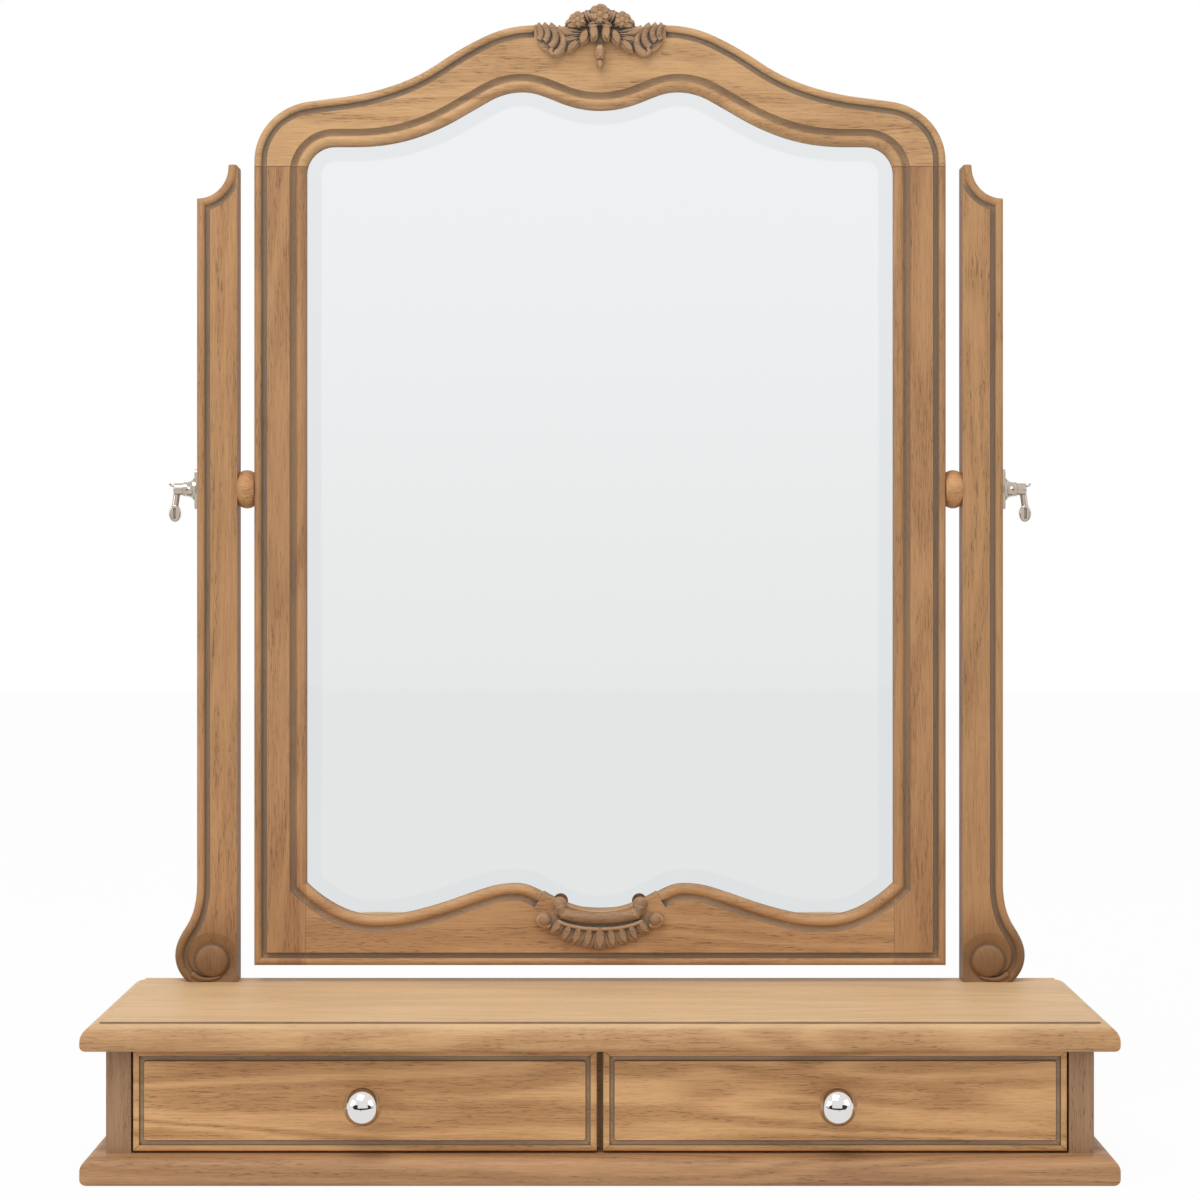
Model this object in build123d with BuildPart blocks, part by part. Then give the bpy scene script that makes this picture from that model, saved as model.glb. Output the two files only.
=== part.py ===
from build123d import *
from cmath import phase, rect
from math import atan, cos, degrees, radians, sqrt, tan
import os

# Free-standing dressing table mirror: a low case with two drawers, two posts with volute
# feet, and a swinging frame with a bevelled glass, held by a friction lever on each side.
# Millimetres. +X is right, +Z is up, the front faces -Y and the origin is under the plinth.

os.makedirs("parts", exist_ok=True)

# Case sizes
base_width = 665.0
base_depth = 190.0
plinth_thickness = 18.0
plinth_top_round = 8.0
plinth_foot_round = 5.0
board_thickness = 18.0
board_quirk_inset = 11.0
board_quirk_depth = 1.2
board_ovolo_radius = 10.0
board_under_round = 4.0
case_overhang = 14.0
case_front_setback = 17.0
case_inner_height = 68.0
panel_thickness = 16.0
divider_thickness = 14.0
case_back_thickness = 6.0
case_back_lap = 8.0

# Drawer sizes
front_thickness = 18.0
front_gap = 1.2
fronts_gap = 4.0
front_bead = 4.0
front_groove = 3.4
front_groove_depth = 1.5
front_edge_round = 1.5
drawer_side_thickness = 10.0
drawer_side_drop = 12.0
drawer_side_clearance = 1.2
drawer_run_clearance = 0.4
drawer_back_clearance = 5.0
drawer_back_thickness = 8.0
drawer_back_inset = 6.0
drawer_bottom_thickness = 4.0
drawer_bottom_raise = 5.0
drawer_housing = 4.0
divider_clearance = 0.4
knob_diameter = 25.0
knob_neck_diameter = 9.0
knob_neck_length = 7.0
knob_bore_depth = 9.0
knob_screw_diameter = 4.0
knob_neck_sink = 1.5
knob_collar_diameter = 12.0
knob_collar_height = 1.2
knob_screw_head_diameter = 8.0
knob_screw_head_height = 2.4

# Post sizes
post_spread = 509.0
post_width = 28.5
post_thickness = 20.0
post_height = 573.6
post_cove_radius = 22.0
post_tip_rise = 1.6
post_tip_round = 1.4
foot_swell = 15.3
foot_swell_height = 18.5
foot_round = 23.8
foot_inflection_rise = 37.7
foot_inflection_out = 8.3
foot_inflection_heading = 124.0
foot_straight_height = 68.0
post_bead = 6.0
post_groove = 3.6
eye_radius = 11.6
eye_inset = 17.9
eye_height = 14.7
eye_dome_fall = 1.2
eye_ground_depth = 2.4
eye_ground_reach = 8.5

# Swinging frame sizes
frame_width = 485.0
frame_thickness = 24.0
frame_back_reach = 2.0
frame_board_gap = 12.0
frame_joint_height = 560.0
stile_width = 36.2
frame_bead = 5.6
frame_groove = 3.6
frame_bead_fall = 2.6
sight_bead = 7.0
sight_groove = 4.2
sight_bead_fall = 3.6
groove_depth = 3.0
groove_shoulder = 1.3
bead_foot = 2.4
bead_crest_drop = 0.25
glass_setback = 10.0
glass_lap = 7.5
glass_clearance = 0.5
glass_thickness = 4.0
glass_bevel_width = 20.0
glass_bevel_fall = 1.6
backing_lap = 16.0
backing_thickness = 5.0
backing_gap = 0.5
pivot_rise = 346.0
crest_moulding_stop = 46.0
fan_moulding_stop = 40.0
carving_bed = 2.5
crest_depth = 16.0
petal_draw = 0.24
rosette_petals = 6

# Frame fastener sizes
frame_dowel_diameter = 8.0
frame_dowel_length = 40.0
top_dowel_inset = 10.5
foot_dowel_setback = 9.0
foot_dowel_low = 11.0
foot_dowel_high = 26.0
insert_diameter = 10.0
insert_length = 18.0
backing_screw_length = 12.0
backing_screw_inset = 12.0
backing_screw_spread = 190.0

# Pivot hardware sizes
spindle_diameter = 6.0
spindle_clearance = 0.3
spacer_diameter = 27.0
spacer_gap = 0.3
spacer_roundness = 2.4
thread_clearance = 0.3
spindle_tip_gap = 2.0
spindle_tip_chamfer = 1.0
spindle_lever_depth = 5.0
plate_thickness = 2.0
plate_height = 28.0
plate_width = 13.0
bell_diameter = 15.6
bell_length = 8.4
bell_neck_diameter = 10.0
bell_rim = 1.2
plate_corner = 3.0
plate_screw_spread = 21.0
lever_neck_diameter = 8.6
lever_gap = 0.3
lever_neck_length = 6.6
lever_edge_round = 1.0
lever_curl_reach = 3.0
lever_curl_rise = 3.2
lever_curl_thickness = 1.5
lever_arm_width = 4.8
lever_arm_depth = 4.0
lever_drop = 17.0
paddle_width = 8.2
paddle_height = 12.0
paddle_thickness = 5.6
paddle_offset = 1.6
paddle_groove = 1.0
paddle_groove_width = 1.8

# Wood screw sizes
screw_diameter = 4.0
screw_head_diameter = 8.0
screw_head_height = 2.6
screw_head_taper = 38.0
screw_length = 34.0
case_screw_spread = 100.0
post_screw_inner_inset = 6.0
post_screw_outer_inset = 24.0
small_screw_diameter = 2.4
small_screw_head = 4.6
small_screw_head_height = 1.4
plate_screw_length = 12.0

# Places that follow from the sizes
front_y = -base_depth / 2
back_y = base_depth / 2
case_half_width = base_width / 2 - case_overhang
case_front_y = front_y + case_front_setback
case_floor_z = plinth_thickness
case_roof_z = case_floor_z + case_inner_height
board_top_z = case_roof_z + board_thickness
post_inner_x = post_spread / 2
post_outer_x = post_inner_x + post_width
post_front_y = back_y - post_thickness
frame_half_width = frame_width / 2
frame_front_y = back_y + frame_back_reach - frame_thickness
frame_back_y = back_y + frame_back_reach
frame_bottom_z = board_top_z + frame_board_gap
frame_joint_z = frame_bottom_z + frame_joint_height
sight_x = frame_half_width - stile_width
pivot_y = back_y - post_thickness / 2
pivot_z = board_top_z + pivot_rise
glass_y = frame_front_y + glass_setback
backing_y = glass_y + glass_thickness


def facing_front(y):
    """A drawing plane at depth y seen from the front: local x is X, local y is Z."""
    return Plane.XZ.offset(-y)


def along(heading):
    """The unit vector of a heading in degrees, as a complex number."""
    return rect(1, radians(heading))


def dot(one, other):
    """The dot product of two vectors held as complex numbers."""
    return (one.conjugate() * other).real


def at(point):
    """A complex number as the (x, z) pair that the drawing objects take."""
    return (point.real, point.imag)


def arc_or_line(start, end, tangent):
    """An arc that leaves along the tangent, or a line where that arc would be straight."""
    chord = end - start
    turn = phase(tangent / chord)
    if abs(turn) < 1e-6:
        Line(at(start), at(end))
    else:
        middle = start + chord * (1 + 1j * tan(turn / 2)) / 2
        ThreePointArc(at(start), at(middle), at(end))


def smooth_run(*stations):
    """Joins (x, z, heading) stations with pairs of arcs that share their tangents."""
    for (x0, z0, out), (x1, z1, into) in zip(stations, stations[1:]):
        start, end = complex(x0, z0), complex(x1, z1)
        leave, arrive = along(out), along(into)
        chord = end - start
        turning = 2 * (1 - dot(leave, arrive))
        forward = 2 * dot(chord, leave + arrive)
        if turning > 1e-9:
            reach = (sqrt(forward**2 + 4 * turning * dot(chord, chord)) - forward) / (2 * turning)
        else:
            reach = dot(chord, chord) / forward
        joint = (start + end + (leave - arrive) * reach) / 2
        arc_or_line(start, joint, leave)
        arc_or_line(joint, end, chord - (leave + arrive) * reach)


def section_plane(path, face_normal):
    """The plane across a path's start, with local x to the left and local y out of the face."""
    tangent = path % 0
    return Plane(origin=path @ 0, x_dir=face_normal.cross(tangent), z_dir=tangent)


def bead_and_groove(bead, fall, groove, toward=1):
    """Outlines the waste over a bead and the groove beside it, inward from an edge at x = 0."""
    far = toward * (bead + groove)
    valley = (toward * (bead + groove * 0.45), -groove_depth)
    Polyline((far, -groove_shoulder), (far, 1), (-toward, 1), (-toward, -fall), (0, -fall))
    ThreePointArc((0, -fall), (toward * bead / 2, -bead_crest_drop), (toward * bead, -bead_foot))
    ThreePointArc((toward * bead, -bead_foot), valley, (far, -groove_shoulder))


front_normal = Vector(0, -1, 0)
up_normal = Vector(0, 0, 1)

# Screws that hold the case together, driven up from under the plinth
case_depth = back_y - case_front_y
case_middle_y = (back_y + case_front_y) / 2
side_middle_x = case_half_width - panel_thickness / 2
case_screw_places = [
    (x, case_middle_y + y)
    for x in (-side_middle_x, 0, side_middle_x)
    for y in (-case_screw_spread / 2, case_screw_spread / 2)
]
with BuildPart() as case_screws:
    with BuildSketch(Plane.XY):
        with Locations(*case_screw_places):
            Circle(screw_diameter / 2)
    extrude(amount=screw_length)
    with BuildSketch(Plane.XY):
        with Locations(*case_screw_places):
            Circle(screw_head_diameter / 2)
    extrude(amount=screw_head_height, taper=screw_head_taper)
case_screws.part.label = "case_screws"
export_step(case_screws.part, "parts/case_screws.step")

# Screws driven up through the top board into the foot of each post
post_screw_places = [
    (sign * (post_inner_x + inset), pivot_y)
    for sign in (-1, 1)
    for inset in (post_screw_inner_inset, post_screw_outer_inset)
]
with BuildPart() as post_screws:
    with BuildSketch(Plane.XY.offset(case_roof_z)):
        with Locations(*post_screw_places):
            Circle(screw_diameter / 2)
    extrude(amount=screw_length)
    with BuildSketch(Plane.XY.offset(case_roof_z)):
        with Locations(*post_screw_places):
            Circle(screw_head_diameter / 2)
    extrude(amount=screw_head_height, taper=screw_head_taper)
post_screws.part.label = "post_screws"
export_step(post_screws.part, "parts/post_screws.step")

# Plinth board, rounded over on the front and both ends and plain at the back
with BuildPart() as plinth:
    with BuildSketch(Plane.XY):
        Rectangle(base_width, base_depth)
    extrude(amount=plinth_thickness)
    fillet(plinth.edges().group_by(Axis.Z)[-1].sort_by(Axis.Y)[:-1], plinth_top_round)
    fillet(plinth.edges().group_by(Axis.Z)[0].sort_by(Axis.Y)[:-1], plinth_foot_round)
    add(case_screws.part, mode=Mode.SUBTRACT)
plinth.part.label = "plinth"
export_step(plinth.part, "parts/plinth.step")

# Top board, with a quirk and ovolo worked round the front and both ends
with BuildPart() as board_edge_waste:
    with BuildLine(Plane.XY.offset(board_top_z)) as board_edge:
        Polyline(
            (-base_width / 2, back_y),
            (-base_width / 2, front_y),
            (base_width / 2, front_y),
            (base_width / 2, back_y),
        )
    with BuildSketch(section_plane(board_edge.wire(), up_normal)):
        ovolo_foot = -board_quirk_depth - board_ovolo_radius
        ovolo_middle = board_ovolo_radius * (1 - cos(radians(45)))
        with BuildLine():
            Polyline(
                (board_ovolo_radius, -board_quirk_depth),
                (board_quirk_inset, -board_quirk_depth),
                (board_quirk_inset, 1),
                (-1, 1),
                (-1, ovolo_foot),
                (0, ovolo_foot),
            )
            ThreePointArc(
                (0, ovolo_foot),
                (ovolo_middle, -board_quirk_depth - ovolo_middle),
                (board_ovolo_radius, -board_quirk_depth),
            )
        make_face()
    sweep(path=board_edge.wire(), transition=Transition.RIGHT)

with BuildPart() as top_board:
    with BuildSketch(Plane.XY.offset(case_roof_z)):
        Rectangle(base_width, base_depth)
    extrude(amount=board_thickness)
    fillet(top_board.edges().group_by(Axis.Z)[0].sort_by(Axis.Y)[:-1], board_under_round)
    add(board_edge_waste.part, mode=Mode.SUBTRACT)
    add(post_screws.part, mode=Mode.SUBTRACT)
top_board.part.label = "top_board"
export_step(top_board.part, "parts/top_board.step")

# Case sides, divider and back, standing between the two boards
opening_half_width = case_half_width - panel_thickness
back_rebate_y = back_y - case_back_thickness
for side, sign in (("left", -1), ("right", 1)):
    with BuildPart() as case_side:
        with BuildSketch(Plane.XY.offset(case_floor_z)):
            with Locations((sign * side_middle_x, case_middle_y)):
                Rectangle(panel_thickness, case_depth)
            with Locations(
                (sign * (opening_half_width + case_back_lap / 2), back_y - case_back_thickness / 2)
            ):
                Rectangle(case_back_lap, case_back_thickness, mode=Mode.SUBTRACT)
        extrude(amount=case_inner_height)
        add(case_screws.part, mode=Mode.SUBTRACT)
    case_side.part.label = f"case_side_{side}"
    export_step(case_side.part, f"parts/case_side_{side}.step")

divider_front_y = case_front_y + front_thickness + divider_clearance
divider_depth = back_rebate_y - divider_front_y
with BuildPart() as case_divider:
    with BuildSketch(Plane.XY.offset(case_floor_z)):
        with Locations((0, divider_front_y + divider_depth / 2)):
            Rectangle(divider_thickness, divider_depth)
    extrude(amount=case_inner_height)
    add(case_screws.part, mode=Mode.SUBTRACT)
case_divider.part.label = "case_divider"
export_step(case_divider.part, "parts/case_divider.step")

with BuildPart() as case_back:
    with BuildSketch(Plane.XY.offset(case_floor_z)):
        with Locations((0, back_y - case_back_thickness / 2)):
            Rectangle(2 * (opening_half_width + case_back_lap), case_back_thickness)
    extrude(amount=case_inner_height)
case_back.part.label = "case_back"
export_step(case_back.part, "parts/case_back.step")

# Two drawers: a moulded front lapping the divider, housed sides, back and bottom, and a knob
front_inner_x = fronts_gap / 2
front_outer_x = opening_half_width - front_gap
front_width = front_outer_x - front_inner_x
front_height = case_inner_height - 2 * front_gap
front_middle_z = case_floor_z + case_inner_height / 2
front_back_y = case_front_y + front_thickness
side_foot_z = case_floor_z + drawer_run_clearance
side_height = front_middle_z + front_height / 2 - drawer_side_drop - side_foot_z
side_front_y = front_back_y - drawer_housing
side_back_y = back_rebate_y - drawer_back_clearance
inner_side_x = divider_thickness / 2 + drawer_side_clearance
outer_side_x = opening_half_width - drawer_side_clearance - drawer_side_thickness
tray_inner_x = inner_side_x + drawer_side_thickness
tray_width = outer_side_x - tray_inner_x
tray_middle_x = (outer_side_x + tray_inner_x) / 2
tray_floor_z = side_foot_z + drawer_bottom_raise + drawer_bottom_thickness
tray_back_y = side_back_y - drawer_back_inset
bottom_depth = tray_back_y - side_front_y
back_height = side_foot_z + side_height - tray_floor_z
knob_ball_y = case_front_y - knob_neck_length - knob_diameter / 2 + knob_neck_sink

for side, sign in (("left", -1), ("right", 1)):
    with BuildPart() as drawer_bottom:
        with BuildSketch(Plane.XY.offset(tray_floor_z - drawer_bottom_thickness)):
            with Locations((sign * tray_middle_x, side_front_y + bottom_depth / 2)):
                Rectangle(tray_width + 2 * drawer_housing, bottom_depth)
        extrude(amount=drawer_bottom_thickness)
    drawer_bottom.part.label = f"drawer_bottom_{side}"
    export_step(drawer_bottom.part, f"parts/drawer_bottom_{side}.step")

    with BuildPart() as drawer_back:
        with BuildSketch(Plane.XY.offset(tray_floor_z)):
            with Locations((sign * tray_middle_x, tray_back_y - drawer_back_thickness / 2)):
                Rectangle(tray_width + 2 * drawer_housing, drawer_back_thickness)
        extrude(amount=back_height)
    drawer_back.part.label = f"drawer_back_{side}"
    export_step(drawer_back.part, f"parts/drawer_back_{side}.step")

    with BuildPart() as drawer_sides:
        for x in (inner_side_x, outer_side_x):
            with BuildSketch(Plane.XY.offset(side_foot_z)):
                with Locations(
                    (sign * (x + drawer_side_thickness / 2), (side_front_y + side_back_y) / 2)
                ):
                    Rectangle(drawer_side_thickness, side_back_y - side_front_y)
            extrude(amount=side_height)
        add(drawer_bottom.part, mode=Mode.SUBTRACT)
        add(drawer_back.part, mode=Mode.SUBTRACT)
    for place, panel in zip(("inner", "outer"), drawer_sides.solids().sort_by(Axis.X)[::sign]):
        with BuildPart() as drawer_side:
            add(panel)
        drawer_side.part.label = f"drawer_side_{place}_{side}"
        export_step(drawer_side.part, f"parts/drawer_side_{place}_{side}.step")

    knob_x = sign * (front_inner_x + front_outer_x) / 2
    knob_axis = Axis((knob_x, 0, front_middle_z), (0, 1, 0))
    with BuildPart() as knob_screw:
        with BuildSketch(facing_front(front_back_y)):
            with Locations((knob_x, front_middle_z)):
                Circle(knob_screw_diameter / 2)
        extrude(amount=front_thickness + knob_bore_depth)
        with BuildSketch(facing_front(front_back_y + knob_screw_head_height)):
            with Locations((knob_x, front_middle_z)):
                Circle(knob_screw_head_diameter / 2)
        extrude(amount=knob_screw_head_height)
    knob_screw.part.label = f"knob_screw_{side}"
    export_step(knob_screw.part, f"parts/knob_screw_{side}.step")

    with BuildPart() as knob:
        with BuildSketch(Plane.XY.offset(front_middle_z)):
            with Locations((knob_x, knob_ball_y)):
                Circle(knob_diameter / 2)
            with Locations((knob_x, (case_front_y + knob_ball_y) / 2)):
                Rectangle(knob_neck_diameter, case_front_y - knob_ball_y)
            with Locations((knob_x, case_front_y - knob_collar_height / 2)):
                Rectangle(knob_collar_diameter, knob_collar_height)
            with Locations((knob_x - knob_diameter, case_front_y)):
                Rectangle(2 * knob_diameter, 4 * knob_diameter, mode=Mode.SUBTRACT)
        revolve(axis=knob_axis)
        add(knob_screw.part, mode=Mode.SUBTRACT)
    knob.part.label = f"knob_{side}"
    export_step(knob.part, f"parts/knob_{side}.step")

    front_place = (sign * (front_inner_x + front_outer_x) / 2, front_middle_z)
    with BuildPart() as drawer_front:
        with BuildSketch(facing_front(case_front_y)):
            with Locations(front_place):
                Rectangle(front_width, front_height)
        extrude(amount=-front_thickness)
        fillet(drawer_front.faces().sort_by(Axis.Y)[0].edges(), front_edge_round)
        with BuildSketch(facing_front(case_front_y)):
            with Locations(front_place):
                Rectangle(front_width - 2 * front_bead, front_height - 2 * front_bead)
                Rectangle(
                    front_width - 2 * (front_bead + front_groove),
                    front_height - 2 * (front_bead + front_groove),
                    mode=Mode.SUBTRACT,
                )
        extrude(amount=-front_groove_depth, mode=Mode.SUBTRACT)
        add(drawer_sides.part, mode=Mode.SUBTRACT)
        add(drawer_bottom.part, mode=Mode.SUBTRACT)
        add(knob_screw.part, mode=Mode.SUBTRACT)
    drawer_front.part.label = f"drawer_front_{side}"
    export_step(drawer_front.part, f"parts/drawer_front_{side}.step")

# Pivot plates: a slim plate with a bell-shaped boss, screwed to the outer face of each post
bell_foot_x = post_outer_x + plate_thickness
bell_end_x = bell_foot_x + bell_length
pivot_axis = Axis((0, pivot_y, pivot_z), (1, 0, 0))
plate_screw_places = [
    (pivot_y, pivot_z - plate_screw_spread / 2),
    (pivot_y, pivot_z + plate_screw_spread / 2),
]
with BuildPart() as plate_screws_right:
    with BuildSketch(Plane.YZ.offset(bell_foot_x)):
        with Locations(*plate_screw_places):
            Circle(small_screw_diameter / 2)
    extrude(amount=-plate_screw_length)
    with BuildSketch(Plane.YZ.offset(bell_foot_x)):
        with Locations(*plate_screw_places):
            Circle(small_screw_head / 2)
    extrude(amount=-small_screw_head_height, taper=screw_head_taper)
with BuildPart() as plate_screws:
    add(plate_screws_right.part)
    mirror(plate_screws_right.part, about=Plane.YZ)
plate_screws.part.label = "plate_screws"
export_step(plate_screws.part, "parts/plate_screws.step")

bell_foot_radius = bell_diameter / 2
bell_neck_radius = bell_neck_diameter / 2
spindle_bore = spindle_diameter / 2 + spindle_clearance
with BuildPart() as plate_right:
    with BuildSketch(Plane.YZ.offset(post_outer_x)):
        with Locations((pivot_y, pivot_z)):
            RectangleRounded(plate_width, plate_height, plate_corner)
    extrude(amount=plate_thickness)
    with BuildSketch(facing_front(pivot_y)):
        with BuildLine():
            bell_edge = Line(
                (bell_foot_x - plate_thickness / 2, pivot_z + bell_foot_radius),
                (bell_foot_x + bell_rim, pivot_z + bell_foot_radius),
            )
            ThreePointArc(
                bell_edge @ 1,
                (bell_foot_x + bell_length * 0.45, pivot_z + bell_neck_radius + 0.6),
                (bell_end_x - bell_rim, pivot_z + bell_neck_radius),
            )
            Polyline(
                (bell_end_x - bell_rim, pivot_z + bell_neck_radius),
                (bell_end_x, pivot_z + bell_neck_radius),
                (bell_end_x, pivot_z),
                (bell_foot_x - plate_thickness / 2, pivot_z),
                bell_edge @ 0,
            )
        make_face()
    revolve(axis=pivot_axis)
    with BuildSketch(Plane.YZ.offset(post_outer_x)):
        with Locations((pivot_y, pivot_z)):
            Circle(spindle_bore)
    extrude(amount=plate_thickness + bell_length, mode=Mode.SUBTRACT)
    add(plate_screws_right.part, mode=Mode.SUBTRACT)
plate_right.part.label = "pivot_plate_right"
export_step(plate_right.part, "parts/pivot_plate_right.step")

with BuildPart() as plate_left:
    mirror(plate_right.part, about=Plane.YZ)
plate_left.part.label = "pivot_plate_left"
export_step(plate_left.part, "parts/pivot_plate_left.step")

# Posts: a bead and groove follow the outer edge down over the swell and in under a raised eye
foot_centre_x = post_outer_x + foot_swell - foot_round
foot_centre_z = board_top_z + foot_swell_height
foot_sole_x = foot_centre_x + sqrt(foot_round**2 - foot_swell_height**2)
post_top_z = board_top_z + post_height
cove_top_z = post_top_z - post_tip_rise
cove_foot_z = cove_top_z - post_cove_radius
cove_end_x = post_outer_x - post_cove_radius
cove_middle = post_cove_radius * cos(radians(45))
eye_x = post_inner_x + eye_inset
eye_z = board_top_z + eye_height
swell = (post_outer_x + foot_swell, foot_centre_z, 90)
inflection = (
    post_outer_x + foot_inflection_out,
    board_top_z + foot_inflection_rise,
    foot_inflection_heading,
)
foot_top = (post_outer_x, board_top_z + foot_straight_height, 90)


def post_edge_above_swell():
    """Draws the outer edge of the right post from the widest place of its foot to its tip."""
    smooth_run(swell, inflection, foot_top)
    Line(foot_top[:2], (post_outer_x, cove_foot_z))
    ThreePointArc(
        (post_outer_x, cove_foot_z),
        (post_outer_x - cove_middle, cove_top_z - cove_middle),
        (cove_end_x, cove_top_z),
    )


with BuildPart() as post_edge_waste:
    with BuildLine(facing_front(post_front_y)) as post_edge:
        RadiusArc((foot_centre_x, foot_centre_z - foot_round), swell[:2], -foot_round)
        post_edge_above_swell()
        Line((cove_end_x, cove_top_z), (cove_end_x, post_top_z + 1))
    with BuildSketch(section_plane(post_edge.wire(), front_normal)):
        with BuildLine():
            bead_and_groove(post_bead, frame_bead_fall, post_groove)
        make_face()
    sweep(path=post_edge.wire(), transition=Transition.RIGHT)

with BuildPart() as eye_waste:
    with BuildSketch(Plane.XY.offset(eye_z)):
        with BuildLine():
            ThreePointArc(
                (eye_x, post_front_y + bead_crest_drop),
                (eye_x + eye_radius * 0.6, post_front_y + bead_crest_drop + eye_dome_fall * 0.3),
                (eye_x + eye_radius, post_front_y + eye_dome_fall),
            )
            Polyline(
                (eye_x + eye_radius, post_front_y + eye_dome_fall),
                (eye_x + eye_radius, post_front_y + eye_ground_depth),
                (eye_x + eye_radius + 1, post_front_y + eye_ground_depth),
                (eye_x + eye_radius + eye_ground_reach, post_front_y),
                (eye_x + eye_radius + eye_ground_reach, post_front_y - 1),
                (eye_x, post_front_y - 1),
                (eye_x, post_front_y + bead_crest_drop),
            )
        make_face()
    revolve(axis=Axis((eye_x, 0, eye_z), (0, 1, 0)))

with BuildPart() as post_right:
    with BuildSketch(facing_front(post_front_y)):
        with BuildLine():
            RadiusArc((foot_sole_x, board_top_z), swell[:2], -foot_round)
            post_edge_above_swell()
            Polyline(
                (cove_end_x, cove_top_z),
                (cove_end_x, post_top_z),
                (post_inner_x, post_top_z),
                (post_inner_x, board_top_z),
                (foot_sole_x, board_top_z),
            )
        make_face()
    extrude(amount=-post_thickness)
    tip_edges = post_right.edges().filter_by(Axis.Y).group_by(Axis.Z)[-1]
    fillet(tip_edges, post_tip_round)
    add(post_edge_waste.part, mode=Mode.SUBTRACT)
    add(eye_waste.part, mode=Mode.SUBTRACT)
    with BuildSketch(Plane.YZ.offset(post_inner_x)):
        with Locations((pivot_y, pivot_z)):
            Circle(spindle_bore)
    extrude(amount=post_width, mode=Mode.SUBTRACT)
    add(post_screws.part, mode=Mode.SUBTRACT)
    add(plate_screws_right.part, mode=Mode.SUBTRACT)
post_right.part.label = "post_right"
export_step(post_right.part, "parts/post_right.step")

with BuildPart() as post_left:
    mirror(post_right.part, about=Plane.YZ)
post_left.part.label = "post_left"
export_step(post_left.part, "parts/post_left.step")

# Lever screws: the spindle passes the boss, post and bun and turns in the frame's insert
spindle_tip_x = frame_half_width - insert_length + spindle_tip_gap
lever_foot_x = bell_end_x + lever_gap
lever_end_x = lever_foot_x + lever_neck_length
lever_arm_x = lever_end_x - lever_arm_width / 2
paddle_x = lever_arm_x + paddle_offset
paddle_z = pivot_z - lever_drop
with BuildPart() as spindle_right:
    with BuildSketch(Plane.YZ.offset(spindle_tip_x)):
        with Locations((pivot_y, pivot_z)):
            Circle(spindle_diameter / 2)
    extrude(amount=lever_foot_x + spindle_lever_depth - spindle_tip_x)
    chamfer(spindle_right.faces().sort_by(Axis.X)[0].edges(), spindle_tip_chamfer)
spindle_right.part.label = "lever_spindle_right"
export_step(spindle_right.part, "parts/lever_spindle_right.step")

with BuildPart() as spindle_left:
    mirror(spindle_right.part, about=Plane.YZ)
spindle_left.part.label = "lever_spindle_left"
export_step(spindle_left.part, "parts/lever_spindle_left.step")

with BuildPart() as lever_right:
    with BuildSketch(Plane.YZ.offset(lever_foot_x)):
        with Locations((pivot_y, pivot_z)):
            Circle(lever_neck_diameter / 2)
    extrude(amount=lever_neck_length)
    fillet(lever_right.faces().sort_by(Axis.X)[-1].edges(), lever_edge_round)
    with BuildPart() as lever_paddle:
        with BuildSketch(facing_front(pivot_y)):
            with Locations((paddle_x, paddle_z)):
                Ellipse(paddle_width / 2, paddle_height / 2)
        extrude(amount=paddle_thickness / 2, both=True)
        fillet(lever_paddle.edges().group_by(Axis.Y)[0], lever_edge_round)
        fillet(lever_paddle.edges().group_by(Axis.Y)[-1], lever_edge_round)
        for way in (-1, 1):
            with BuildSketch(facing_front(pivot_y + way * paddle_thickness / 2)):
                with Locations((paddle_x, paddle_z)):
                    SlotOverall(paddle_height * 0.65, paddle_groove_width, rotation=90)
            extrude(amount=way * paddle_groove, mode=Mode.SUBTRACT)
    with BuildPart() as lever_arm:
        with BuildSketch(Plane.XY.offset(pivot_z)):
            with Locations((lever_arm_x, pivot_y)):
                Ellipse(lever_arm_width / 2, lever_arm_depth / 2)
        with BuildSketch(Plane.XY.offset(paddle_z + paddle_height * 0.4)):
            with Locations((paddle_x, pivot_y)):
                Ellipse(lever_arm_width / 2, lever_arm_depth / 2)
        loft()
    with BuildPart() as lever_curl:
        with BuildLine(facing_front(pivot_y)) as curl_spine:
            ThreePointArc(
                (lever_end_x - lever_curl_reach * 0.5, pivot_z + lever_curl_rise),
                (lever_end_x + lever_curl_reach * 0.4, pivot_z + lever_curl_rise * 0.75),
                (lever_end_x + lever_curl_reach, pivot_z + lever_curl_rise * 1.25),
            )
        with BuildSketch(section_plane(curl_spine.wire(), front_normal)):
            Circle(lever_curl_thickness / 2)
        sweep(path=curl_spine.wire())
    add(spindle_right.part, mode=Mode.SUBTRACT)
lever_right.part.label = "lever_handle_right"
export_step(lever_right.part, "parts/lever_handle_right.step")

with BuildPart() as lever_left:
    mirror(lever_right.part, about=Plane.YZ)
lever_left.part.label = "lever_handle_left"
export_step(lever_left.part, "parts/lever_handle_left.step")

# Bun spacers between the posts and the frame, fixed to the posts
spacer_start_x = frame_half_width + spacer_gap
spacer_end_x = post_inner_x
spacer_face_radius = spacer_diameter / 2 - spacer_roundness
with BuildPart() as spacer_right:
    with BuildSketch(facing_front(pivot_y)):
        with BuildLine():
            Polyline(
                (spacer_end_x, pivot_z + spacer_face_radius),
                (spacer_end_x, pivot_z + spindle_bore),
                (spacer_start_x, pivot_z + spindle_bore),
                (spacer_start_x, pivot_z + spacer_face_radius),
            )
            ThreePointArc(
                (spacer_start_x, pivot_z + spacer_face_radius),
                ((spacer_start_x + spacer_end_x) / 2, pivot_z + spacer_diameter / 2),
                (spacer_end_x, pivot_z + spacer_face_radius),
            )
        make_face()
    revolve(axis=pivot_axis)
spacer_right.part.label = "bun_spacer_right"
export_step(spacer_right.part, "parts/bun_spacer_right.step")

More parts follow.
